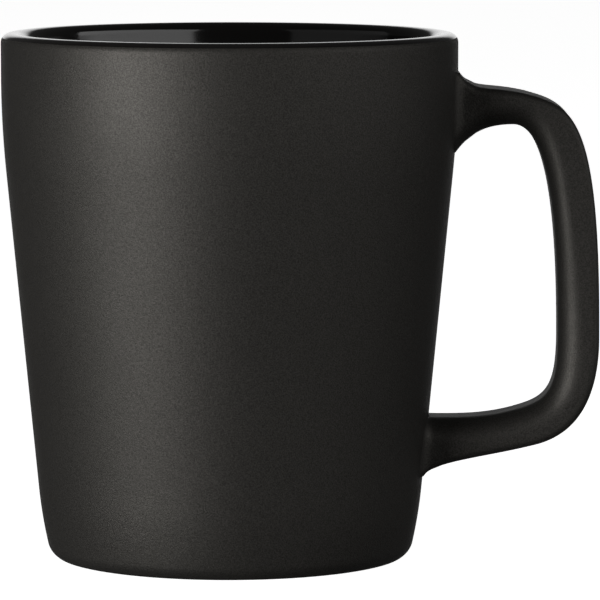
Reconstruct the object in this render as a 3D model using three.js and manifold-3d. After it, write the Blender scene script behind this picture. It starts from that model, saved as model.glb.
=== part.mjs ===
// A two-tone stoneware mug. The thrown cup and the moulded strap handle are luted together with
// slip. A gloss liner glaze covers the inside and runs over the lip, a matte coat covers the
// outside and the handle, and the foot ring is wiped bare.
// Millimetres, +Z up. The mug rests on Z = 0, its handle points along +X, and the origin is under
// the middle of its overall box.

import * as THREE from 'three';
import { mergeVertices } from 'three/addons/utils/BufferGeometryUtils.js';
import Module from 'manifold-3d';

const wasm = await Module();
wasm.setup();

// ---------------------------------------------------------------------------------------------
// Driving dimensions
// ---------------------------------------------------------------------------------------------

const degree = Math.PI / 180;

const glaze = 0.4; // thickness of every glaze layer
const seam = 0.3; // clearance left between two pieces where one is cut to fit the other

const cup = {
  height: 108,
  lipRadius: 46.9, // outside of the upright band under the lip
  wall: 5, // at the lip, through the clay and both glazes
  lipCrown: 2.2, // height of the rounded top of the lip
  lipSquareness: 2.4, // exponent of the lip's superellipse, 2 for a plain half round
  glossLine: 32 * degree, // where on the lip's outer rounding the liner stops and the coat starts
  uprightBand: 6, // straight stretch under the lip
  shoulderRadius: 211, // long curve from the upright band to the taper
  taper: 5.55 * degree, // lean of the straight side
  bellyRadius: 95, // curve from the taper to the foot
  footLean: 12.6 * degree, // lean of the side where it meets the foot's corner
  footCornerRadius: 4,
  wipeLine: 60 * degree, // where on the foot's corner the coat is wiped off
  footRingWidth: 4,
  recessDepth: 1.8, // how far the underside stands off the table inside the foot ring
  floorThickness: 5, // through the clay and both glazes
  floorCornerRadius: 11,
};

const strap = {
  width: 16,
  gripThickness: 8.4,
  upperArmThickness: 6.5,
  lowerArmThickness: 6.9,
  fingerGap: 24.8, // cup side to grip
  armBelowLip: 10.4, // lip to the top of the upper arm
  armAboveFoot: 23.4, // foot to the underside of the lower arm
  gripShare: 0.3, // how far up the handle the grip stands furthest out, as a share of its height
  upperRootDepth: 16.7, // height of the upper end where it meets the cup
  lowerRootDepth: 11.9,
  upperRootRise: 2.6, // how far the upper end sweeps up above its arm
  outerEdgeRadius: 1.5, // the edges of the face away from the cup
  innerEdgeRadius: 4.9, // the softer edges of the face that the fingers curl round
  rootFillet: 2, // how far the strap spreads sideways where it meets the cup
  slipDepth: 4, // how far the slip joint reaches out from the cup
};

const archFall = 1.8; // how far the upper arm's outer face has fallen where it starts to bend
const lowerArmFall = 1.4; // how far the lower arm's inner face falls towards the cup

// The pull of the curves along the strap's outer face, from the upper root round to the lower one
const outerBends = {
  archShare: 0.47, // where the upper bend starts, as a share of the way from the cup to the grip
  lowerArchShare: 0.62,
  flare: { run: 2.6, dip: 1.8, end: 5.5 },
  shoulder: { inset: 6, drop: 4.4, reach: 5 },
  heel: { reach: 10.2, inset: 4.1, lift: 2.1 },
  tail: { run: 9.5, sag: 2.4, inset: 1.3, drop: 3.4 },
};

// The same along its inner face, round the finger gap
const innerBends = {
  archShare: 0.56,
  lowerArchShare: 0.64,
  flare: { run: 2.8, lift: 3.8 },
  arm: 5.9,
  shoulder: 13.6,
  heel: { reach: 3.1, run: 6.9, lift: 1.9 },
  tail: { run: 6.1, sag: 1.6, end: 5.1 },
};

// Fineness of the faceted solids
const turnSegments = 48;
const arcSteps = 3;
const floorCornerSteps = 5;
const lipSteps = 3;
const edgeSteps = 3;
const rootSteps = 6;
const gripSteps = 10;
const rootCrowding = 1.6; // exponent that draws the sections closer together near the cup

// ---------------------------------------------------------------------------------------------
// Cup outline, in the plane of radius and height
// ---------------------------------------------------------------------------------------------

// The direction square to a side that leans out by `lean` from upright
function facing(lean) {
  return new THREE.Vector2(Math.cos(lean), -Math.sin(lean));
}

function onArc(centre, radius, lean) {
  return facing(lean).multiplyScalar(radius).add(centre);
}

function arcPoints(centre, radius, fromLean, toLean, steps = arcSteps) {
  const points = [];
  for (let step = 0; step <= steps; step += 1) {
    points.push(onArc(centre, radius, THREE.MathUtils.lerp(fromLean, toLean, step / steps)));
  }
  return points;
}

// Centres of the arcs that the side is made of, each tangent to the next, from the top down
const shoulderTop = cup.height - cup.lipCrown - cup.uprightBand;
const shoulderCentre = new THREE.Vector2(cup.lipRadius - cup.shoulderRadius, shoulderTop);
const taperTop = onArc(shoulderCentre, cup.shoulderRadius, cup.taper);

const footCentreHeight = cup.footCornerRadius - glaze;
const taperFootHeight = footCentreHeight
  + cup.bellyRadius * (Math.sin(cup.footLean) - Math.sin(cup.taper))
  - cup.footCornerRadius * Math.sin(cup.footLean);
const taperFoot = new THREE.Vector2(
  taperTop.x - (taperTop.y - taperFootHeight) * Math.tan(cup.taper),
  taperFootHeight,
);
const bellyCentre = onArc(taperFoot, -cup.bellyRadius, cup.taper);
const footCentre = onArc(
  onArc(bellyCentre, cup.bellyRadius, cup.footLean),
  -cup.footCornerRadius,
  cup.footLean,
);

// The inside tapers straight down from the lip, then turns into the flat floor
const floorHeight = cup.recessDepth + cup.floorThickness;
const innerTaperTop = new THREE.Vector2(cup.lipRadius - cup.wall, cup.height - cup.lipCrown);
const floorCornerHeight = floorHeight + cup.floorCornerRadius;
const floorCentre = new THREE.Vector2(
  (innerTaperTop.dot(facing(cup.taper)) - cup.floorCornerRadius
    + floorCornerHeight * Math.sin(cup.taper)) / Math.cos(cup.taper),
  floorCornerHeight,
);

// The underside: a bare foot ring round a shallow recess
const footRingOuter = footCentre.x;
const footRingInner = footRingOuter - cup.footRingWidth;

// The foot's corner from the table up to the wipe line, `depth` under the surface of the coat
function footCorner(depth) {
  return arcPoints(footCentre, cup.footCornerRadius - depth, 90 * degree, cup.wipeLine);
}

// The outside from the wipe line up to the lip, `depth` under the surface of the coat
function outside(depth) {
  return [
    ...arcPoints(footCentre, cup.footCornerRadius - depth, cup.wipeLine, cup.footLean),
    ...arcPoints(bellyCentre, cup.bellyRadius - depth, cup.footLean, cup.taper),
    ...arcPoints(shoulderCentre, cup.shoulderRadius - depth, cup.taper, 0),
  ];
}

// The inside below the lip, `depth` under the surface of the liner, from the lip down to the floor
function inside(depth) {
  return [
    innerTaperTop.clone().addScaledVector(facing(cup.taper), depth),
    ...arcPoints(
      floorCentre,
      cup.floorCornerRadius + depth,
      cup.taper,
      90 * degree,
      floorCornerSteps,
    ),
    new THREE.Vector2(0, floorHeight - depth),
  ];
}

// The lip's rounded top, `depth` under its surface, as a half superellipse between two turns,
// 0 at its outer foot and 180 degrees at its inner foot
function lip(depth, fromTurn, toTurn) {
  const points = [];
  const power = 2 / cup.lipSquareness;
  for (let step = 0; step <= lipSteps; step += 1) {
    const turn = THREE.MathUtils.lerp(fromTurn, toTurn, step / lipSteps);
    const across = Math.cos(turn);
    const up = Math.sin(turn);
    points.push(new THREE.Vector2(
      cup.lipRadius - cup.wall / 2
        + (cup.wall / 2 - depth) * Math.sign(across) * Math.abs(across) ** power,
      cup.height - cup.lipCrown + (cup.lipCrown - depth) * Math.max(up, 0) ** power,
    ));
  }
  return points;
}

function coatedLip(depth) {
  return lip(depth, 0, cup.glossLine);
}

function glossLip(depth) {
  return [...lip(depth, cup.glossLine, 90 * degree), ...lip(depth, 90 * degree, 180 * degree)];
}

// The outside radius of the coated cup at a height between the foot and the lip
function sideRadius(height) {
  const points = outside(0);
  const above = points.findIndex((point) => point.y >= height);
  const low = points[Math.max(above - 1, 0)];
  const high = above < 0 ? points.at(-1) : points[above];
  if (high.y <= low.y) return high.x;
  return THREE.MathUtils.mapLinear(height, low.y, high.y, low.x, high.x);
}

// ---------------------------------------------------------------------------------------------
// Solids
// ---------------------------------------------------------------------------------------------

// A closed profile turned about the Z axis. The profile runs up its outer side and down its inner.
function turned(points) {
  const distinct = points.filter((point, i) => i === 0 || point.distanceTo(points[i - 1]) > 1e-4);
  return new THREE.LatheGeometry(distinct, turnSegments).rotateX(90 * degree);
}

// A skin between an outer line and the same line further in, both from the foot side up
function turnedSkin(outer, inner) {
  return turned([...outer, ...inner.reverse(), outer[0]]);
}

// The triangles between two rings of `count` points, given where each ring starts
function band(from, to, count) {
  const triangles = [];
  for (let i = 0; i < count; i += 1) {
    const j = (i + 1) % count;
    triangles.push(from + i, from + j, to + i, from + j, to + j, to + i);
  }
  return triangles;
}

// The triangles along a row of rings whose points start at `start`
function wall(rings, start) {
  const count = rings[0].length;
  const triangles = [];
  for (let r = 1; r < rings.length; r += 1) {
    triangles.push(...band(start + (r - 1) * count, start + r * count, count));
  }
  return triangles;
}

function fromRings(rings, triangles) {
  const geometry = new THREE.BufferGeometry().setFromPoints(rings.flat());
  geometry.setIndex(triangles);
  return geometry;
}

// A solid bar through a row of rings, capped at both ends
function bar(rings) {
  const count = rings[0].length;
  const last = (rings.length - 1) * count;
  const triangles = wall(rings, 0);
  for (let i = 1; i < count - 1; i += 1) {
    triangles.push(0, i + 1, i, last, last + i, last + i + 1);
  }
  return fromRings(rings, triangles);
}

// A hollow bar between an outer and an inner row of rings, open through its length
function sleeve(outer, inner) {
  const count = outer[0].length;
  const hole = outer.length * count;
  const triangles = [
    ...wall(outer, 0),
    ...wall(inner, hole).reverse(),
    ...band(hole - count, 2 * hole - count, count),
    ...band(hole, 0, count),
  ];
  return fromRings([...outer, ...inner], triangles);
}

function toManifold(geometry) {
  const bare = geometry.clone();
  bare.deleteAttribute('normal');
  bare.deleteAttribute('uv');
  const merged = mergeVertices(bare);
  const corners = merged.index.array;
  const triVerts = [];
  for (let i = 0; i < corners.length; i += 3) {
    const [a, b, c] = corners.slice(i, i + 3);
    if (a !== b && b !== c && c !== a) triVerts.push(a, b, c);
  }
  return new wasm.Manifold(new wasm.Mesh({
    numProp: 3,
    vertProperties: merged.attributes.position.array,
    triVerts: new Uint32Array(triVerts),
  }));
}

function toGeometry(manifold) {
  const mesh = manifold.getMesh();
  const geometry = new THREE.BufferGeometry();
  geometry.setAttribute('position', new THREE.BufferAttribute(mesh.vertProperties, 3));
  geometry.setIndex(new THREE.BufferAttribute(mesh.triVerts, 1));
  return geometry;
}

// Everything within the cup's side, grown outwards from the coat's surface
function cupEnvelope(growth) {
  const side = [...footCorner(-growth), ...outside(-growth)];
  return toManifold(turned([
    new THREE.Vector2(0, side[0].y),
    ...side,
    new THREE.Vector2(cup.lipRadius + growth, cup.height),
    new THREE.Vector2(0, cup.height),
  ]));
}

// ---------------------------------------------------------------------------------------------
// Handle outline, in the plane of X and Z, measured from the cup's axis
// ---------------------------------------------------------------------------------------------

const armTop = cup.height - strap.armBelowLip;
const armFoot = strap.armAboveFoot;
const gripHeight = THREE.MathUtils.lerp(armFoot, armTop, strap.gripShare);
const gripInner = sideRadius(gripHeight) + strap.fingerGap;
const reach = gripInner + strap.gripThickness;

function curve(...points) {
  return new THREE.CubicBezierCurve(...points.map(([x, z]) => new THREE.Vector2(x, z)));
}

// The line of the strap's outer face, away from the cup, in four stretches: upper root and arm,
// upper bend and grip, grip and lower bend, lower arm and root
function outerLine() {
  const upperWall = sideRadius(armTop);
  const rootFoot = armFoot + strap.lowerArmThickness - lowerArmFall - strap.lowerRootDepth;
  const lowerWall = sideRadius(rootFoot);
  const arch = [THREE.MathUtils.lerp(upperWall, reach, outerBends.archShare), armTop - archFall];
  const grip = [reach, gripHeight];
  const lowerArch = [THREE.MathUtils.lerp(lowerWall, reach, outerBends.lowerArchShare), armFoot];
  const { flare, shoulder, heel, tail } = outerBends;
  return [
    curve([upperWall, armTop + strap.upperRootRise], [upperWall + flare.run, armTop - flare.dip],
      [upperWall + flare.end, armTop], arch),
    curve(arch, [reach - shoulder.inset, armTop - shoulder.drop], [reach, armTop - shoulder.reach],
      grip),
    curve(grip, [reach, armFoot + heel.reach], [reach - heel.inset, armFoot + heel.lift],
      lowerArch),
    curve(lowerArch, [lowerArch[0] - tail.run, armFoot - tail.sag],
      [lowerWall + tail.inset, armFoot - tail.drop], [lowerWall, rootFoot]),
  ];
}

// The line of the strap's inner face, round the finger gap, in the same four stretches
function innerLine() {
  const rootTop = armTop + strap.upperRootRise - strap.upperRootDepth;
  const upperWall = sideRadius(rootTop);
  const archHeight = armTop - archFall - strap.upperArmThickness;
  const arch = [THREE.MathUtils.lerp(upperWall, gripInner, innerBends.archShare), archHeight];
  const grip = [gripInner, gripHeight];
  const lowerHeight = armFoot + strap.lowerArmThickness;
  const lowerWall = sideRadius(lowerHeight);
  const lowerArch = [
    THREE.MathUtils.lerp(lowerWall, gripInner, innerBends.lowerArchShare),
    lowerHeight,
  ];
  const lowerRoot = lowerHeight - lowerArmFall;
  const { flare, arm, shoulder, heel, tail } = innerBends;
  return [
    curve([upperWall, rootTop], [upperWall + flare.run, rootTop + flare.lift],
      [arch[0] - arm, archHeight], arch),
    curve(arch, [arch[0] + arm, archHeight], [gripInner, archHeight - shoulder], grip),
    curve(grip, [gripInner, lowerHeight + heel.reach],
      [lowerArch[0] + heel.run, lowerHeight + heel.lift], lowerArch),
    curve(lowerArch, [lowerArch[0] - tail.run, lowerHeight - tail.sag],
      [lowerWall + tail.end, lowerRoot], [lowerWall, lowerRoot]),
  ];
}

// How much wider than its grip the strap is on one side, at a distance from the cup
function rootSpread(distance) {
  const left = THREE.MathUtils.clamp(strap.rootFillet - distance, 0, strap.rootFillet);
  return strap.rootFillet - Math.sqrt(strap.rootFillet ** 2 - left ** 2);
}

// Places along the strap where its section is drawn
function stations() {
  const outer = outerLine();
  const inner = innerLine();
  const steps = [rootSteps, gripSteps, gripSteps, rootSteps];
  const even = (t) => t;
  const shares = [(t) => t ** rootCrowding, even, even, (t) => 1 - (1 - t) ** rootCrowding];
  const list = [];
  outer.forEach((line, stretch) => {
    for (let step = stretch === 0 ? 0 : 1; step <= steps[stretch]; step += 1) {
      const share = shares[stretch](step / steps[stretch]);
      const out = line.getPoint(share);
      const back = inner[stretch].getPoint(share);
      const middle = out.clone().lerp(back, 0.5);
      const distance = Math.max(middle.x - sideRadius(middle.y), 0);
      list.push({ out, back, halfWidth: strap.width / 2 + rootSpread(distance) });
    }
  });
  // Both ends carry on into the cup, so that they can be cut to its curve
  const buried = ({ out, back, halfWidth }) => {
    const into = new THREE.Vector2(-cup.wall / 2, 0);
    return { out: out.clone().add(into), back: back.clone().add(into), halfWidth };
  };
  return [buried(list[0]), ...list, buried(list.at(-1))];
}

// The strap's section at a station, grown outwards all round: square-cut on the outer face and
// soft on the inner one
function section({ out, back, halfWidth }, growth) {
  const thickness = out.distanceTo(back) + growth;
  const width = halfWidth + growth;
  const axis = out.clone().sub(back).normalize();
  const outerRadius = strap.outerEdgeRadius + growth;
  const innerRadius = strap.innerEdgeRadius + growth;
  const edges = [
    { across: width - outerRadius, up: thickness - outerRadius, radius: outerRadius },
    { across: outerRadius - width, up: thickness - outerRadius, radius: outerRadius },
    { across: innerRadius - width, up: innerRadius - growth, radius: innerRadius },
    { across: width - innerRadius, up: innerRadius - growth, radius: innerRadius },
  ];
  const points = [];
  edges.forEach(({ across, up, radius }, quarter) => {
    for (let step = 0; step <= edgeSteps; step += 1) {
      const turn = (quarter + step / edgeSteps) * 90 * degree;
      const rise = up + radius * Math.sin(turn);
      points.push(new THREE.Vector3(
        back.x + axis.x * rise,
        across + radius * Math.cos(turn),
        back.y + axis.y * rise,
      ));
    }
  });
  return points;
}

const strapStations = stations();
const endStations = rootSteps + 3; // enough to reach past a slip joint
const upperEnd = strapStations.slice(0, endStations);
const lowerEnd = strapStations.slice(-endStations);

function strapRings(places, growth) {
  return places.map((place) => section(place, growth));
}

// ---------------------------------------------------------------------------------------------
// The pieces
// ---------------------------------------------------------------------------------------------

// Thrown clay: wall, floor and foot ring, under the glazes
function cupBody() {
  return turned([
    new THREE.Vector2(0, cup.recessDepth + glaze),
    new THREE.Vector2(footRingInner - cup.recessDepth - glaze, cup.recessDepth + glaze),
    new THREE.Vector2(footRingInner, 0),
    ...footCorner(glaze),
    ...outside(glaze),
    ...coatedLip(glaze),
    ...glossLip(glaze),
    ...inside(glaze),
  ]);
}

// Gloss glaze on the floor and the inside wall, over the lip and just down its outside
function linerGlaze() {
  return turned([
    ...inside(glaze).reverse(),
    ...glossLip(glaze).reverse(),
    ...glossLip(0),
    ...inside(0),
  ]);
}

// Matte coat from the foot's wipe line up to the gloss line, open where the handle is luted on
function bodyGlaze() {
  const outer = [...outside(0), ...coatedLip(0)];
  const inner = [...outside(glaze), ...coatedLip(glaze)];
  const skin = toManifold(turnedSkin(outer, inner));
  const openings = [upperEnd, lowerEnd].map((end) => (
    toManifold(bar(strapRings(end, seam - glaze)))
  ));
  return toGeometry(skin.subtract(openings[0]).subtract(openings[1]));
}

// Clay strap between the two slip joints
function handle() {
  const clay = toManifold(bar(strapRings(strapStations, -glaze)));
  return toGeometry(clay.subtract(cupEnvelope(strap.slipDepth + seam)));
}

// Slip joint: the luted seam and its modelled fillet, from the cup's clay out to the strap
function slipJoint(end) {
  const root = toManifold(bar(strapRings(end, -glaze)));
  return toGeometry(root.intersect(cupEnvelope(strap.slipDepth)).subtract(cupEnvelope(seam - glaze)));
}

// Matte coat round the strap and the slip joints, up to the coat of the cup
function handleGlaze() {
  const coat = sleeve(strapRings(strapStations, 0), strapRings(strapStations, -glaze));
  return toGeometry(toManifold(coat).subtract(cupEnvelope(seam)));
}

// Matte glaze in the recess of the underside, inside the bare foot ring
function baseGlaze() {
  const edge = footRingInner - cup.recessDepth - glaze;
  return turned([
    new THREE.Vector2(0, cup.recessDepth),
    new THREE.Vector2(edge, cup.recessDepth),
    new THREE.Vector2(edge, cup.recessDepth + glaze),
    new THREE.Vector2(0, cup.recessDepth + glaze),
  ]);
}

const clayFinish = { color: 0xc9bda9, roughness: 0.85, metalness: 0 };
const matteFinish = { color: 0x2c2a28, roughness: 0.55, metalness: 0 };
const glossFinish = { color: 0x161413, roughness: 0.12, metalness: 0 };

const pieces = [
  ['cup_body', cupBody(), clayFinish],
  ['handle', handle(), clayFinish],
  ['upper_slip_joint', slipJoint(upperEnd), clayFinish],
  ['lower_slip_joint', slipJoint(lowerEnd), clayFinish],
  ['liner_glaze', linerGlaze(), glossFinish],
  ['body_glaze', bodyGlaze(), matteFinish],
  ['handle_glaze', handleGlaze(), matteFinish],
  ['base_glaze', baseGlaze(), matteFinish],
];

const mug = new THREE.Group();
pieces.forEach(([name, geometry, finish]) => {
  const piece = new THREE.Mesh(geometry, new THREE.MeshStandardMaterial(finish));
  piece.name = name;
  mug.add(piece);
});

// The cup's axis stands off the origin, so that the origin is under the middle of the whole mug
mug.position.x = (cup.lipRadius - reach) / 2;

export default mug;
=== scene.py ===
"""The looks of a two-tone stoneware mug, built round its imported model.

A gloss black liner runs over the lip, a matte black coat covers the outside and the handle, and the
foot ring is bare clay. Metres, +Z up, the handle towards +X.
"""

import math
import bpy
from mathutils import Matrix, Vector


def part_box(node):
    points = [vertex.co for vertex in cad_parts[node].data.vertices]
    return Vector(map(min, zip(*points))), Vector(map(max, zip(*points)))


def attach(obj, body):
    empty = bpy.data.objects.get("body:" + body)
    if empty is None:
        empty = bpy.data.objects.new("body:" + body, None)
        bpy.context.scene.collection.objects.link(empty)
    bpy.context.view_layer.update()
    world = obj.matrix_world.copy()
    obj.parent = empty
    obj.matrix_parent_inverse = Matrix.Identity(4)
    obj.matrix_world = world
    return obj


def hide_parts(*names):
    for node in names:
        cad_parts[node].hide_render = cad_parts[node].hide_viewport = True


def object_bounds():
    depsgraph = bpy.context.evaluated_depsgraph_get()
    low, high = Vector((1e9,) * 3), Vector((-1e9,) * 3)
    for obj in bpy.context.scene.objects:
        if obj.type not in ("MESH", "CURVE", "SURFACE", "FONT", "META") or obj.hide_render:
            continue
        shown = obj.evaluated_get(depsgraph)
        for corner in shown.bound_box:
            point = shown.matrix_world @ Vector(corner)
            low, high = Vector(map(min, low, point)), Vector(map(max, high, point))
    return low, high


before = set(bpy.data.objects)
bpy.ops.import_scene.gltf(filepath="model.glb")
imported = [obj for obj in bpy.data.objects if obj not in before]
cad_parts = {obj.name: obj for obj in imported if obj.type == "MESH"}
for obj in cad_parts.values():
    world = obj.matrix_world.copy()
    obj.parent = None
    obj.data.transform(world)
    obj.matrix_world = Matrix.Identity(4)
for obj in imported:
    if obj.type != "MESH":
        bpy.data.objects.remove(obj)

from types import SimpleNamespace as Pulls

import bpy
import numpy as np
from mathutils import Vector

MM = 0.001

# ------------------------------------------------------------------------------------------------
# Sizes taken from the frame
# ------------------------------------------------------------------------------------------------

cad_low, cad_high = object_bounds()
coat_low, coat_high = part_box("body_glaze")
recess_low, recess_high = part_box("base_glaze")
strap_low, strap_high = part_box("handle")

AXIS_X = (coat_low.x + coat_high.x) / 2
HEIGHT = cad_high.z
LIP_RADIUS = cad_high.y
GLAZE = recess_high.z - recess_low.z
RECESS_DEPTH = recess_low.z
REACH = cad_high.x - AXIS_X
STRAP_WIDTH = strap_high.y - strap_low.y + 2 * GLAZE

# ------------------------------------------------------------------------------------------------
# The cup's own shape
# ------------------------------------------------------------------------------------------------

WALL = 5 * MM
LIP_CROWN = 2.2 * MM
LIP_SQUARENESS = 2.4
GLOSS_LINE = math.radians(32)
UPRIGHT_BAND = 6 * MM
SHOULDER_RADIUS = 211 * MM
TAPER = math.radians(5.55)
BELLY_RADIUS = 95 * MM
FOOT_LEAN = math.radians(12.6)
FOOT_CORNER_RADIUS = 4 * MM
WIPE_LINE = math.radians(60)
FOOT_RING_WIDTH = 4 * MM
FLOOR_THICKNESS = 5 * MM
FLOOR_HEIGHT = RECESS_DEPTH + FLOOR_THICKNESS
FLOOR_CORNER_RADIUS = 11 * MM

# Fineness of the turned pieces, as steps along each stretch of their profile
TURN_SEGMENTS = 256
RING_STEPS = 8
FOOT_STEPS = 12
BELLY_STEPS = 12
SHOULDER_STEPS = 14
SIDE_STEPS = 20
INNER_SIDE_STEPS = 30
FLOOR_CORNER_STEPS = 20
FLOOR_STEPS = 10
COATED_LIP_STEPS = 8
OUTER_LIP_STEPS = 12
INNER_LIP_STEPS = 18

LEVEL = math.pi / 2  # the lean of a face that lies flat, facing down
SHARP_EDGE = math.radians(40)
ON_AXIS = 0.0001 * MM
REPEATED = 0.002 * MM


def facing(lean):
    """The direction square to a side that leans out by `lean`, as (radius, height)."""
    return Vector((math.cos(lean), -math.sin(lean)))


def on_arc(centre, radius, lean):
    return centre + radius * facing(lean)


def arc(centre, radius, start, end, steps):
    leans = [start + (end - start) * k / steps for k in range(steps + 1)]
    return [on_arc(centre, radius, lean) for lean in leans]


shoulder_centre = Vector((LIP_RADIUS - SHOULDER_RADIUS, HEIGHT - LIP_CROWN - UPRIGHT_BAND))
taper_top = on_arc(shoulder_centre, SHOULDER_RADIUS, TAPER)
taper_foot_height = (
    FOOT_CORNER_RADIUS - GLAZE
    + BELLY_RADIUS * (math.sin(FOOT_LEAN) - math.sin(TAPER))
    - FOOT_CORNER_RADIUS * math.sin(FOOT_LEAN)
)
taper_foot = Vector((
    taper_top.x - (taper_top.y - taper_foot_height) * math.tan(TAPER),
    taper_foot_height,
))
belly_centre = on_arc(taper_foot, -BELLY_RADIUS, TAPER)
foot_centre = on_arc(
    on_arc(belly_centre, BELLY_RADIUS, FOOT_LEAN), -FOOT_CORNER_RADIUS, FOOT_LEAN
)
foot_ring_inner = foot_centre.x - FOOT_RING_WIDTH

inner_taper_top = Vector((LIP_RADIUS - WALL, HEIGHT - LIP_CROWN))
floor_corner_height = FLOOR_HEIGHT + FLOOR_CORNER_RADIUS
floor_centre = Vector((
    (
        inner_taper_top.dot(facing(TAPER))
        - FLOOR_CORNER_RADIUS
        + floor_corner_height * math.sin(TAPER)
    ) / math.cos(TAPER),
    floor_corner_height,
))


def straight(start, end, steps):
    """Points strictly between two others, so that long faces stay short enough to shade evenly."""
    return [start.lerp(end, k / steps) for k in range(1, steps)]


def foot_corner(depth):
    return arc(foot_centre, FOOT_CORNER_RADIUS - depth, LEVEL, WIPE_LINE, RING_STEPS)


def outside(depth):
    """The outside from the wipe line up to the lip, `depth` under the coat's surface."""
    corner = arc(foot_centre, FOOT_CORNER_RADIUS - depth, WIPE_LINE, FOOT_LEAN, FOOT_STEPS)
    belly = arc(belly_centre, BELLY_RADIUS - depth, FOOT_LEAN, TAPER, BELLY_STEPS)
    shoulder = arc(shoulder_centre, SHOULDER_RADIUS - depth, TAPER, 0, SHOULDER_STEPS)
    side = straight(belly[-1], shoulder[0], SIDE_STEPS)
    return corner + belly[1:] + side + shoulder


def inside(depth):
    """The inside below the lip, `depth` under the liner's surface, down to the middle of the floor."""
    top = inner_taper_top + depth * facing(TAPER)
    corner = arc(floor_centre, FLOOR_CORNER_RADIUS + depth, TAPER, LEVEL, FLOOR_CORNER_STEPS)
    side = straight(top, corner[0], INNER_SIDE_STEPS)
    middle = Vector((0, FLOOR_HEIGHT - depth))
    return [top] + side + corner + straight(corner[-1], middle, FLOOR_STEPS) + [middle]


def lip(depth, start, end, steps):
    """Part of the lip's rounded top: 0 is its outer foot, 180 degrees its inner foot."""
    power = 2 / LIP_SQUARENESS
    points = []
    for k in range(steps + 1):
        turn = start + (end - start) * k / steps
        across, up = math.cos(turn), max(math.sin(turn), 0)
        points.append(Vector((
            LIP_RADIUS - WALL / 2
            + (WALL / 2 - depth) * math.copysign(abs(across) ** power, across),
            HEIGHT - LIP_CROWN + (LIP_CROWN - depth) * up ** power,
        )))
    return points


def coated_lip(depth):
    return lip(depth, 0, GLOSS_LINE, COATED_LIP_STEPS)


def gloss_lip(depth):
    crest = math.pi / 2
    outer = lip(depth, GLOSS_LINE, crest, OUTER_LIP_STEPS)
    return outer + lip(depth, crest, math.pi, INNER_LIP_STEPS)


SIDE = outside(0)
SIDE_RADII = np.array([p.x for p in SIDE])
SIDE_HEIGHTS = np.array([p.y for p in SIDE])


def side_radius(height):
    """The coated cup's outside radius at a height."""
    return float(np.interp(height, SIDE_HEIGHTS, SIDE_RADII))


# ------------------------------------------------------------------------------------------------
# Meshes
# ------------------------------------------------------------------------------------------------


def make_object(name, points, faces):
    mesh = bpy.data.meshes.new(name)
    mesh.from_pydata(points, [], faces)
    mesh.validate()
    mesh.shade_smooth()
    mesh.set_sharp_from_angle(angle=SHARP_EDGE)
    made = bpy.data.objects.new(name, mesh)
    bpy.context.scene.collection.objects.link(made)
    return made


def without_repeats(points):
    return [p for k, p in enumerate(points) if k == 0 or (p - points[k - 1]).length > REPEATED]


def turned(name, profile, closed=False):
    """A profile of (radius, height) turned about the cup's axis, as one closed body.

    It runs up its outer side and down its inner one, from axis to axis, or closes on itself.
    """
    profile = without_repeats(profile)
    points, rows = [], []
    for radius, height in profile:
        first = len(points)
        if radius < ON_AXIS:
            points.append((AXIS_X, 0, height))
            rows.append([first] * TURN_SEGMENTS)
            continue
        for k in range(TURN_SEGMENTS):
            turn = 2 * math.pi * k / TURN_SEGMENTS
            points.append((AXIS_X + radius * math.cos(turn), radius * math.sin(turn), height))
        rows.append([first + k for k in range(TURN_SEGMENTS)])
    faces = []
    for low, high in zip(rows, rows[1:] + (rows[:1] if closed else [])):
        for k in range(TURN_SEGMENTS):
            j = (k + 1) % TURN_SEGMENTS
            corners = dict.fromkeys((low[k], low[j], high[j], high[k]))
            if len(corners) > 2:
                faces.append(tuple(corners))
    return make_object(name, points, faces)


def band(start, end, count):
    return [
        (start + k, start + (k + 1) % count, end + (k + 1) % count, end + k)
        for k in range(count)
    ]


def row_faces(rows, count, first):
    return [
        face
        for r in range(rows - 1)
        for face in band(first + r * count, first + (r + 1) * count, count)
    ]


def bar(name, rings):
    """A solid through a row of rings of equal count, capped at both ends."""
    count = len(rings[0])
    last = (len(rings) - 1) * count
    faces = row_faces(len(rings), count, 0)
    faces.append(tuple(reversed(range(count))))
    faces.append(tuple(range(last, last + count)))
    return make_object(name, [p for ring in rings for p in ring], faces)


def sleeve(name, outer, inner):
    """A hollow bar between an outer and an inner row of rings, open through its length."""
    count = len(outer[0])
    hole = len(outer) * count
    faces = row_faces(len(outer), count, 0)
    faces += [tuple(reversed(face)) for face in row_faces(len(inner), count, hole)]
    faces += band(hole - count, 2 * hole - count, count)
    faces += band(hole, 0, count)
    return make_object(name, [p for ring in outer + inner for p in ring], faces)


# ------------------------------------------------------------------------------------------------
# The strap handle
# ------------------------------------------------------------------------------------------------

GRIP_THICKNESS = 8.4 * MM
UPPER_ARM_THICKNESS = 6.5 * MM
LOWER_ARM_THICKNESS = 6.9 * MM
ARM_BELOW_LIP = 10.4 * MM
ARM_TOP = HEIGHT - ARM_BELOW_LIP
ARM_FOOT = 23.4 * MM
GRIP_SHARE = 0.3
GRIP_HEIGHT = ARM_FOOT + GRIP_SHARE * (ARM_TOP - ARM_FOOT)
GRIP_INNER = REACH - GRIP_THICKNESS
UPPER_ROOT_RISE = 2.6 * MM
UPPER_ROOT_DEPTH = 16.7 * MM
LOWER_ROOT_DEPTH = 11.9 * MM
OUTER_EDGE_RADIUS = 1.5 * MM
INNER_EDGE_RADIUS = 4.9 * MM
ROOT_FILLET = 2 * MM
ARCH_FALL = 1.8 * MM
LOWER_ARM_FALL = 1.4 * MM
SLIP_DEPTH = 4 * MM
SEAM = 0.3 * MM

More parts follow.
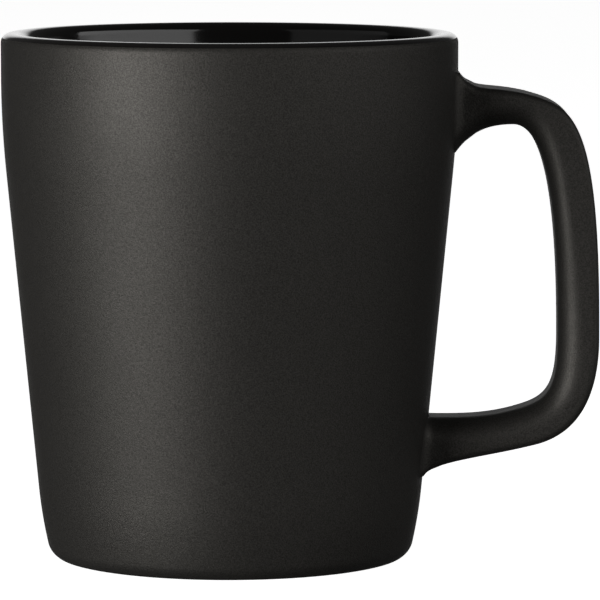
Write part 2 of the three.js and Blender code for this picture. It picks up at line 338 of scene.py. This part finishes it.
# How the curves of the strap's outer face pull, from the upper root round to the lower one
OUTER = Pulls(
    arch_share=0.47, low_arch_share=0.62,
    flare_run=2.6 * MM, flare_dip=1.8 * MM, flare_end=5.5 * MM,
    shoulder_inset=6 * MM, shoulder_drop=4.4 * MM, shoulder_reach=5 * MM,
    heel_reach=10.2 * MM, heel_inset=4.1 * MM, heel_lift=2.1 * MM,
    tail_run=9.5 * MM, tail_sag=2.4 * MM, tail_inset=1.3 * MM, tail_drop=3.4 * MM,
)

# The same for its inner face, round the finger gap
INNER = Pulls(
    arch_share=0.56, low_arch_share=0.64,
    flare_run=2.8 * MM, flare_lift=3.8 * MM, arm_run=5.9 * MM, shoulder_drop=13.6 * MM,
    heel_reach=3.1 * MM, heel_run=6.9 * MM, heel_lift=1.9 * MM,
    tail_run=6.1 * MM, tail_sag=1.6 * MM, tail_end=5.1 * MM,
)

# Fineness of the strap's rings
HALVINGS = 24
BURIED = 1.5  # how far past the strap's ends, in walls, the search for the cup's side begins
FILLET_ROWS = 9
JOINT_ROWS = FILLET_ROWS + 2
ARM_ROWS = 15
BEND_ROWS = 36


def mix(a, b, share):
    return a + (b - a) * share


def outer_line():
    """The strap's outer face from the upper root round to the lower one, as four cubic curves."""
    root_foot = ARM_FOOT + LOWER_ARM_THICKNESS - LOWER_ARM_FALL - LOWER_ROOT_DEPTH
    wall, low_wall = side_radius(ARM_TOP), side_radius(root_foot)
    arch = (mix(wall, REACH, OUTER.arch_share), ARM_TOP - ARCH_FALL)
    grip = (REACH, GRIP_HEIGHT)
    low_arch = (mix(low_wall, REACH, OUTER.low_arch_share), ARM_FOOT)
    return [
        [
            (wall, ARM_TOP + UPPER_ROOT_RISE),
            (wall + OUTER.flare_run, ARM_TOP - OUTER.flare_dip),
            (wall + OUTER.flare_end, ARM_TOP),
            arch,
        ],
        [
            arch,
            (REACH - OUTER.shoulder_inset, ARM_TOP - OUTER.shoulder_drop),
            (REACH, ARM_TOP - OUTER.shoulder_reach),
            grip,
        ],
        [
            grip,
            (REACH, ARM_FOOT + OUTER.heel_reach),
            (REACH - OUTER.heel_inset, ARM_FOOT + OUTER.heel_lift),
            low_arch,
        ],
        [
            low_arch,
            (low_arch[0] - OUTER.tail_run, ARM_FOOT - OUTER.tail_sag),
            (low_wall + OUTER.tail_inset, ARM_FOOT - OUTER.tail_drop),
            (low_wall, root_foot),
        ],
    ]


def inner_line():
    """The strap's inner face, round the finger gap, in the same four stretches."""
    root_top = ARM_TOP + UPPER_ROOT_RISE - UPPER_ROOT_DEPTH
    arm = ARM_TOP - ARCH_FALL - UPPER_ARM_THICKNESS
    low = ARM_FOOT + LOWER_ARM_THICKNESS
    low_root = low - LOWER_ARM_FALL
    wall, low_wall = side_radius(root_top), side_radius(low)
    arch = (mix(wall, GRIP_INNER, INNER.arch_share), arm)
    grip = (GRIP_INNER, GRIP_HEIGHT)
    low_arch = (mix(low_wall, GRIP_INNER, INNER.low_arch_share), low)
    return [
        [
            (wall, root_top),
            (wall + INNER.flare_run, root_top + INNER.flare_lift),
            (arch[0] - INNER.arm_run, arm),
            arch,
        ],
        [
            arch,
            (arch[0] + INNER.arm_run, arm),
            (GRIP_INNER, arm - INNER.shoulder_drop),
            grip,
        ],
        [
            grip,
            (GRIP_INNER, low + INNER.heel_reach),
            (low_arch[0] + INNER.heel_run, low + INNER.heel_lift),
            low_arch,
        ],
        [
            low_arch,
            (low_arch[0] - INNER.tail_run, low - INNER.tail_sag),
            (low_wall + INNER.tail_end, low_root),
            (low_wall, low_root),
        ],
    ]


OUTER_LINE = outer_line()
INNER_LINE = inner_line()
STRETCHES = len(OUTER_LINE)


def on_line(line, place):
    """A point on a line of cubic curves. Whole places are where they join; past its ends it runs
    straight on into the cup."""
    inside_place = min(max(place, 0), STRETCHES)
    stretch = min(int(inside_place), STRETCHES - 1)
    t = inside_place - stretch
    a, b, c, d = (Vector(p) for p in line[stretch])
    point = a * (1 - t) ** 3 + b * 3 * t * (1 - t) ** 2 + c * 3 * t ** 2 * (1 - t) + d * t ** 3
    beyond = abs(place - inside_place)
    return point - Vector((beyond * WALL, 0))


def section_outline():
    """The section's edge as (quarter, share) stops: four rounded corners and the flats between."""
    corner_steps, flat_steps = 8, (8, 3, 8, 3)
    stops = []
    for quarter in range(4):
        stops += [(quarter, k / corner_steps, None) for k in range(corner_steps + 1)]
        stops += [(quarter, None, k / flat_steps[quarter]) for k in range(1, flat_steps[quarter])]
    return stops


STOPS = section_outline()


def section_point(stop, place, growth):
    """A point of the strap's section at a place along it, and the way that the section faces there.

    The outer face has small edges, and the face towards the fingers has soft ones.
    """
    out, back = on_line(OUTER_LINE, place), on_line(INNER_LINE, place)
    up = (out - back).normalized()
    thickness = (out - back).length + growth
    width = STRAP_WIDTH / 2 + growth
    outer, inner = OUTER_EDGE_RADIUS + growth, INNER_EDGE_RADIUS + growth
    centres = [
        (width - outer, thickness - outer, outer),
        (outer - width, thickness - outer, outer),
        (inner - width, inner - growth, inner),
        (width - inner, inner - growth, inner),
    ]

    def on_corner(quarter, share):
        across, rise, radius = centres[quarter % 4]
        turn = (quarter + share) * math.pi / 2
        way = Vector((math.cos(turn), math.sin(turn)))
        return Vector((across, rise)) + radius * way, way

    quarter, corner, flat = stop
    if flat is None:
        spot, way = on_corner(quarter, corner)
    else:
        (start, way), (end, _) = on_corner(quarter, 1), on_corner(quarter + 1, 0)
        spot = start.lerp(end, flat)
    point = Vector((back.x + up.x * spot.y, spot.x, back.y + up.y * spot.y))
    return point, Vector((up.x * way.y, way.x, up.y * way.y))


def off_cup(point):
    """How far a point, measured from the cup's axis, stands off the cup's side."""
    return math.hypot(point.x, point.y) - side_radius(point.z)


def place_at(stop, distance, growth, end):
    """Where along the strap the section's edge stands `distance` off the cup, near one end."""
    near, far = (-BURIED, 1.0) if end == 0 else (STRETCHES + BURIED, STRETCHES - 1.0)
    for _ in range(HALVINGS):
        middle = (near + far) / 2
        if off_cup(section_point(stop, middle, growth)[0]) < distance:
            near = middle
        else:
            far = middle
    return (near + far) / 2


def fillet_point(stop, distance, growth, end):
    """A point of the strap at a distance off the cup, spread outwards to run into the cup's side."""
    point, way = section_point(stop, place_at(stop, distance, growth, end), growth)
    left = min(max(ROOT_FILLET - distance, 0), ROOT_FILLET)
    spread = ROOT_FILLET - math.sqrt(ROOT_FILLET ** 2 - left ** 2)
    point += way * spread * way.y ** 2
    point.x -= off_cup(point) - distance
    return point


def root_rings(end, growth, start):
    """Rings from a stand-off `start` from the cup's side, through its fillet, out to the arch.

    The first JOINT_ROWS of them make the slip joint.
    """
    turns = [math.pi / 2 * (1 - k / FILLET_ROWS) for k in range(FILLET_ROWS + 1)]
    distances = [start] + [ROOT_FILLET * (1 - math.sin(turn)) for turn in turns[1:]]
    distances += [SLIP_DEPTH, SLIP_DEPTH + SEAM]
    arch = 1.0 if end == 0 else STRETCHES - 1.0
    rings = [[fillet_point(stop, d, growth, end) for stop in STOPS] for d in distances]
    leaves = [place_at(stop, distances[-1], growth, end) for stop in STOPS]
    for k in range(1, ARM_ROWS):
        rings.append([
            section_point(stop, mix(leave, arch, k / ARM_ROWS), growth)[0]
            for stop, leave in zip(STOPS, leaves)
        ])
    return rings


def strap_rings(growth, start):
    """Rings along the whole strap, from the cup's side round to the cup's side."""
    middle = [
        [section_point(stop, 1 + k / BEND_ROWS, growth)[0] for stop in STOPS]
        for k in range(2 * BEND_ROWS + 1)
    ]
    rings = root_rings(0, growth, start) + middle + root_rings(1, growth, start)[::-1]
    return [[(p.x + AXIS_X, p.y, p.z) for p in ring] for ring in rings]


# ------------------------------------------------------------------------------------------------
# Materials
# ------------------------------------------------------------------------------------------------


class Shader:
    """A node material whose Principled shader's inputs are set by name."""

    def __init__(self, name):
        self.material = bpy.data.materials.new(name)
        self.material.use_nodes = True
        self.tree = self.material.node_tree
        self.surface = self.tree.nodes["Principled BSDF"]
        self.place = self.node("ShaderNodeTexCoord").outputs["Object"]

    def node(self, kind, **settings):
        made = self.tree.nodes.new(kind)
        for key, value in settings.items():
            if key in made.inputs:
                made.inputs[key].default_value = value
            else:
                setattr(made, key, value)
        return made

    def link(self, start, end):
        self.tree.links.new(start, end)

    def set(self, **values):
        for key, value in values.items():
            self.surface.inputs[key.replace("_", " ")].default_value = value

    def noise(self, per_metre, detail=2.0, roughness=0.5):
        made = self.node("ShaderNodeTexNoise", Scale=per_metre, Detail=detail, Roughness=roughness)
        self.link(self.place, made.inputs["Vector"])
        return made.outputs["Fac"]

    def ramp(self, value, low, high, start=0.3, end=0.7):
        """Colours or numbers from `low` to `high` as value runs from start to end."""
        made = self.node("ShaderNodeMapRange")
        made.inputs["From Min"].default_value = start
        made.inputs["From Max"].default_value = end
        made.inputs["To Min"].default_value = low
        made.inputs["To Max"].default_value = high
        self.link(value, made.inputs["Value"])
        return made.outputs["Result"]

    def colours(self, value, low, high, start=0.3, end=0.7):
        made = self.node("ShaderNodeValToRGB")
        made.color_ramp.elements[0].position = start
        made.color_ramp.elements[0].color = (*low, 1)
        made.color_ramp.elements[1].position = end
        made.color_ramp.elements[1].color = (*high, 1)
        self.link(value, made.inputs["Fac"])
        return made.outputs["Color"]

    def bumps(self, *layers):
        """Layers of (height, depth in metres), each laid over the one before."""
        last = None
        for height, depth in layers:
            made = self.node("ShaderNodeBump", Distance=depth)
            self.link(height, made.inputs["Height"])
            if last is not None:
                self.link(last, made.inputs["Normal"])
            last = made.outputs["Normal"]
        self.link(last, self.surface.inputs["Normal"])


def matte_glaze():
    """Dry matte black: a fine tight grain, and a slow drift of tone and gloss."""
    look = Shader("matte_black_glaze")
    grain = look.noise(3800, detail=2)
    drift = look.noise(45, detail=3)
    tone = look.colours(grain, (0.0065, 0.0062, 0.0057), (0.0135, 0.0130, 0.0120))
    look.link(tone, look.surface.inputs["Base Color"])
    look.link(look.ramp(grain, 0.33, 0.67), look.surface.inputs["Specular IOR Level"])
    look.link(look.ramp(drift, 0.53, 0.57), look.surface.inputs["Roughness"])
    look.set(IOR=1.4, Specular_Tint=(1, 0.955, 0.88, 1))
    look.bumps((drift, 0.02 * MM), (grain, 0.05 * MM))
    return look.material


def gloss_glaze():
    """Deep gloss black with the faint orange peel of a glaze that has flowed."""
    look = Shader("gloss_black_glaze")
    peel = look.noise(260, detail=1)
    cloud = look.noise(60, detail=2)
    tone = look.colours(cloud, (0.0045, 0.0040, 0.0037), (0.0075, 0.0068, 0.0062))
    look.link(tone, look.surface.inputs["Base Color"])
    look.link(look.ramp(cloud, 0.09, 0.13), look.surface.inputs["Roughness"])
    look.set(IOR=1.52)
    look.bumps((peel, 0.012 * MM))
    return look.material


def bare_clay():
    """Fired stoneware, dry and sandy, with dark iron specks."""
    look = Shader("bare_stoneware")
    body = look.noise(180, detail=4)
    sand = look.noise(3200, detail=2)
    specks = look.noise(1500, detail=1)
    plain = look.colours(body, (0.50, 0.41, 0.31), (0.62, 0.53, 0.42))
    dots = look.ramp(specks, 1, 0.45, start=0.68, end=0.74)
    mixed = look.node("ShaderNodeMix", data_type="RGBA", blend_type="MULTIPLY")
    mixed.inputs["Factor"].default_value = 1
    look.link(plain, mixed.inputs["A"])
    look.link(dots, mixed.inputs["B"])
    look.link(mixed.outputs["Result"], look.surface.inputs["Base Color"])
    look.link(look.ramp(sand, 0.78, 0.92), look.surface.inputs["Roughness"])
    look.bumps((body, 0.05 * MM), (sand, 0.03 * MM))
    return look.material


MATTE = matte_glaze()
GLOSS = gloss_glaze()
CLAY = bare_clay()


def finished(piece, material, slot, *nodes):
    """Gives a new piece its material, parents it to the root body and hides the CAD nodes it stands
    for.
    """
    piece.data.materials.append(material)
    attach(piece, "root")
    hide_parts(*nodes)
    return piece


# ------------------------------------------------------------------------------------------------
# The pieces
# ------------------------------------------------------------------------------------------------


def make_cup_clay():
    underside = RECESS_DEPTH + GLAZE
    ring_foot = foot_ring_inner - underside
    profile = (
        [Vector((0, underside)), Vector((ring_foot, underside)), Vector((foot_ring_inner, 0))]
        + foot_corner(GLAZE) + outside(GLAZE) + coated_lip(GLAZE) + gloss_lip(GLAZE)
        + inside(GLAZE)
    )
    return finished(turned("cup_clay", profile), CLAY, "bare_clay", "cup_body")


def make_liner():
    profile = (
        inside(GLAZE)[::-1] + gloss_lip(GLAZE)[::-1] + gloss_lip(0) + inside(0)
    )
    return finished(turned("gloss_liner", profile), GLOSS, "gloss_glaze", "liner_glaze")


def make_body_coat():
    outer = outside(0) + coated_lip(0)
    inner = outside(GLAZE) + coated_lip(GLAZE)
    piece = turned("body_coat", outer + inner[::-1], closed=True)
    return finished(piece, MATTE, "matte_glaze", "body_glaze")


def make_recess_coat():
    edge = foot_ring_inner - RECESS_DEPTH - GLAZE
    low, high = RECESS_DEPTH, RECESS_DEPTH + GLAZE
    profile = (
        [Vector((0, low)), Vector((edge, low)), Vector((edge, high)), Vector((0, high))]
    )
    return finished(turned("recess_coat", profile), MATTE, "matte_glaze", "base_glaze")


def make_handle():
    """The strap's clay between its two slip joints, and the coat over all three."""
    clay = strap_rings(-GLAZE, -GLAZE)
    joints = {"upper_slip_joint": clay[:JOINT_ROWS], "lower_slip_joint": clay[-JOINT_ROWS:]}
    for node, rings in joints.items():
        finished(bar(f"{node}_clay", rings), CLAY, "bare_clay", node)
    finished(bar("strap_clay", clay[JOINT_ROWS:-JOINT_ROWS]), CLAY, "bare_clay", "handle")
    coat = sleeve("handle_coat", strap_rings(0, 0), clay)
    finished(coat, MATTE, "matte_glaze", "handle_glaze")


make_cup_clay()
make_liner()
make_body_coat()
make_recess_coat()
make_handle()


# ------------------------------------------------------------------------------------------------
# Floor, light and camera
# ------------------------------------------------------------------------------------------------

CAMERA_ASIDE = 14.43 * MM
CAMERA_DISTANCE = 1.0053
CAMERA_HEIGHT = 0.1575
CAMERA_PITCH = math.radians(5.947)
CAMERA_LENS = 294.0

SWEEP_FLAT = 4.0
SWEEP_RISE = 2.5
SWEEP_STEPS = 16
SWEEP_SEGMENTS = 96
SWEEP_GLOW = 0.93
STUDIO_DIMNESS = 0.05
BACKDROP_BRIGHTNESS = 1.1
BACKDROP_EDGE = math.cos(math.radians(24))
BACKDROP_FULL = math.cos(math.radians(11))
LIGHTS_TARGET = Vector((0, 0, HEIGHT / 2))

# Lamps as (name, bearing, distance, height, width, tall, watts)
LAMPS = [
    ("low_key", -47, 0.8, 0.08, 0.35, 0.06, 7.8),
    ("right_panel", 60, 1.45, 0.45, 2.4, 0.9, 11),
    ("left_panel", -70, 1.45, 0.45, 2.0, 0.9, 1),
]


def make_sweep():
    """A pale floor that curves up into a pale wall all round, and glows like a light table."""
    profile = [(SWEEP_FLAT, 0)]
    for k in range(1, SWEEP_STEPS + 1):
        turn = math.pi / 2 * k / SWEEP_STEPS
        profile.append((
            SWEEP_FLAT + SWEEP_RISE * math.sin(turn),
            SWEEP_RISE * (1 - math.cos(turn)),
        ))
    points = [(0, 0, 0)]
    for radius, height in profile:
        for k in range(SWEEP_SEGMENTS):
            turn = 2 * math.pi * k / SWEEP_SEGMENTS
            points.append((radius * math.cos(turn), radius * math.sin(turn), height))
    faces = [(0, 1 + k, 1 + (k + 1) % SWEEP_SEGMENTS) for k in range(SWEEP_SEGMENTS)]
    for row in range(SWEEP_STEPS):
        low = 1 + row * SWEEP_SEGMENTS
        faces += band(low, low + SWEEP_SEGMENTS, SWEEP_SEGMENTS)
    sweep = make_object("sweep", points, faces)
    look = Shader("pale_sweep")
    tone = look.colours(look.noise(3), (0.78, 0.78, 0.78), (0.8, 0.8, 0.8))
    look.link(tone, look.surface.inputs["Base Color"])
    look.set(Roughness=0.9, Emission_Color=(1, 1, 1, 1), Emission_Strength=SWEEP_GLOW)
    sweep.data.materials.append(look.material)
    sweep.visible_glossy = False
    sweep.visible_diffuse = False


def make_lamp(name, bearing, distance, height, width, tall, power):
    """A soft rectangular lamp aimed at the mug. Bearing is in degrees round from the camera's side,
    with the left of the picture negative, and height is above the table."""
    light = bpy.data.lights.new(name, "AREA")
    light.shape = "RECTANGLE"
    light.size, light.size_y = width, tall
    light.energy = power
    around = math.radians(bearing)
    lamp = bpy.data.objects.new(name, light)
    lamp.location = (distance * math.sin(around), -distance * math.cos(around), height)
    lamp.rotation_euler = (LIGHTS_TARGET - lamp.location).to_track_quat("-Z", "Y").to_euler()
    lamp.visible_camera = False
    bpy.context.scene.collection.objects.link(lamp)


def make_world():
    """A dim studio with a bright round of backdrop straight behind the mug."""
    world = bpy.data.worlds.new("studio")
    bpy.context.scene.world = world
    world.use_nodes = True
    tree = world.node_tree
    background = tree.nodes["Background"]
    background.inputs["Color"].default_value = (1, 1, 1, 1)
    way = tree.nodes.new("ShaderNodeTexCoord")
    split = tree.nodes.new("ShaderNodeSeparateXYZ")
    fade = tree.nodes.new("ShaderNodeMapRange")
    fade.interpolation_type = "SMOOTHSTEP"
    fade.inputs["From Min"].default_value = BACKDROP_EDGE
    fade.inputs["From Max"].default_value = BACKDROP_FULL
    fade.inputs["To Min"].default_value = STUDIO_DIMNESS
    fade.inputs["To Max"].default_value = BACKDROP_BRIGHTNESS
    tree.links.new(way.outputs["Generated"], split.inputs["Vector"])
    tree.links.new(split.outputs["Y"], fade.inputs["Value"])
    tree.links.new(fade.outputs["Result"], background.inputs["Strength"])


def make_camera():
    lens = bpy.data.cameras.new("camera")
    lens.lens = CAMERA_LENS
    lens.clip_start, lens.clip_end = 0.05, 60
    camera = bpy.data.objects.new("camera", lens)
    camera.location = (AXIS_X + CAMERA_ASIDE, -CAMERA_DISTANCE, CAMERA_HEIGHT)
    camera.rotation_euler = (math.pi / 2 - CAMERA_PITCH, 0, 0)
    bpy.context.scene.collection.objects.link(camera)
    bpy.context.scene.camera = camera


make_sweep()
make_world()
for lamp in LAMPS:
    make_lamp(*lamp)
make_camera()
bpy.context.scene.view_settings.view_transform = "Standard"
